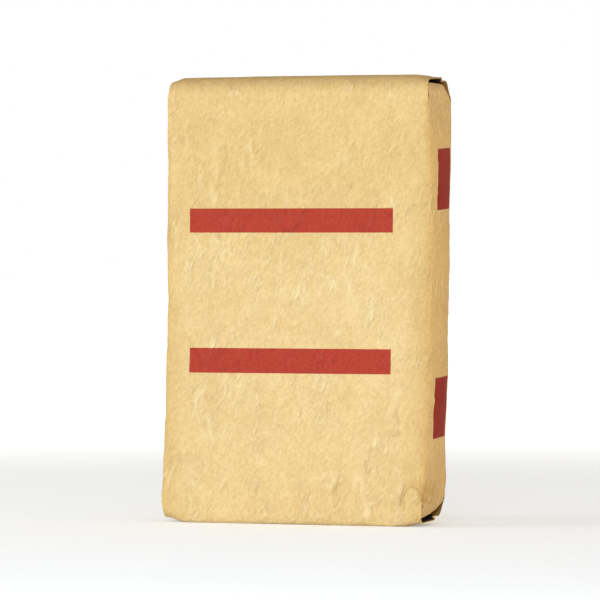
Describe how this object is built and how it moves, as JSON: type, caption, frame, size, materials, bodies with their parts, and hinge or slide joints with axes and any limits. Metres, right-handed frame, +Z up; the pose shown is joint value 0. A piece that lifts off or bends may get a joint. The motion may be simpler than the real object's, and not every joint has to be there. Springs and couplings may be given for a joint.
{
  "type": "cement sack",
  "caption": "Full paper cement sack standing on end, with folded and pasted ends, tucked side panels and a self-closing corner valve.",
  "frame": {"origin": "on the floor, at the middle of the sack's outline seen from above", "axes": "+Z up along the sack, -Y out of the wide front panel, +X towards the side panel that the picture shows"},
  "size_m": [0.3544, 0.1, 0.565],
  "materials": {
    "kraft_paper": "matt crinkled kraft paper",
    "cement_mix": "dry grey powder and sand"
  },
  "bodies": {
    "root": {"paper_sack": "kraft_paper", "dry_mix": "cement_mix"}
  },
  "joints": []
}
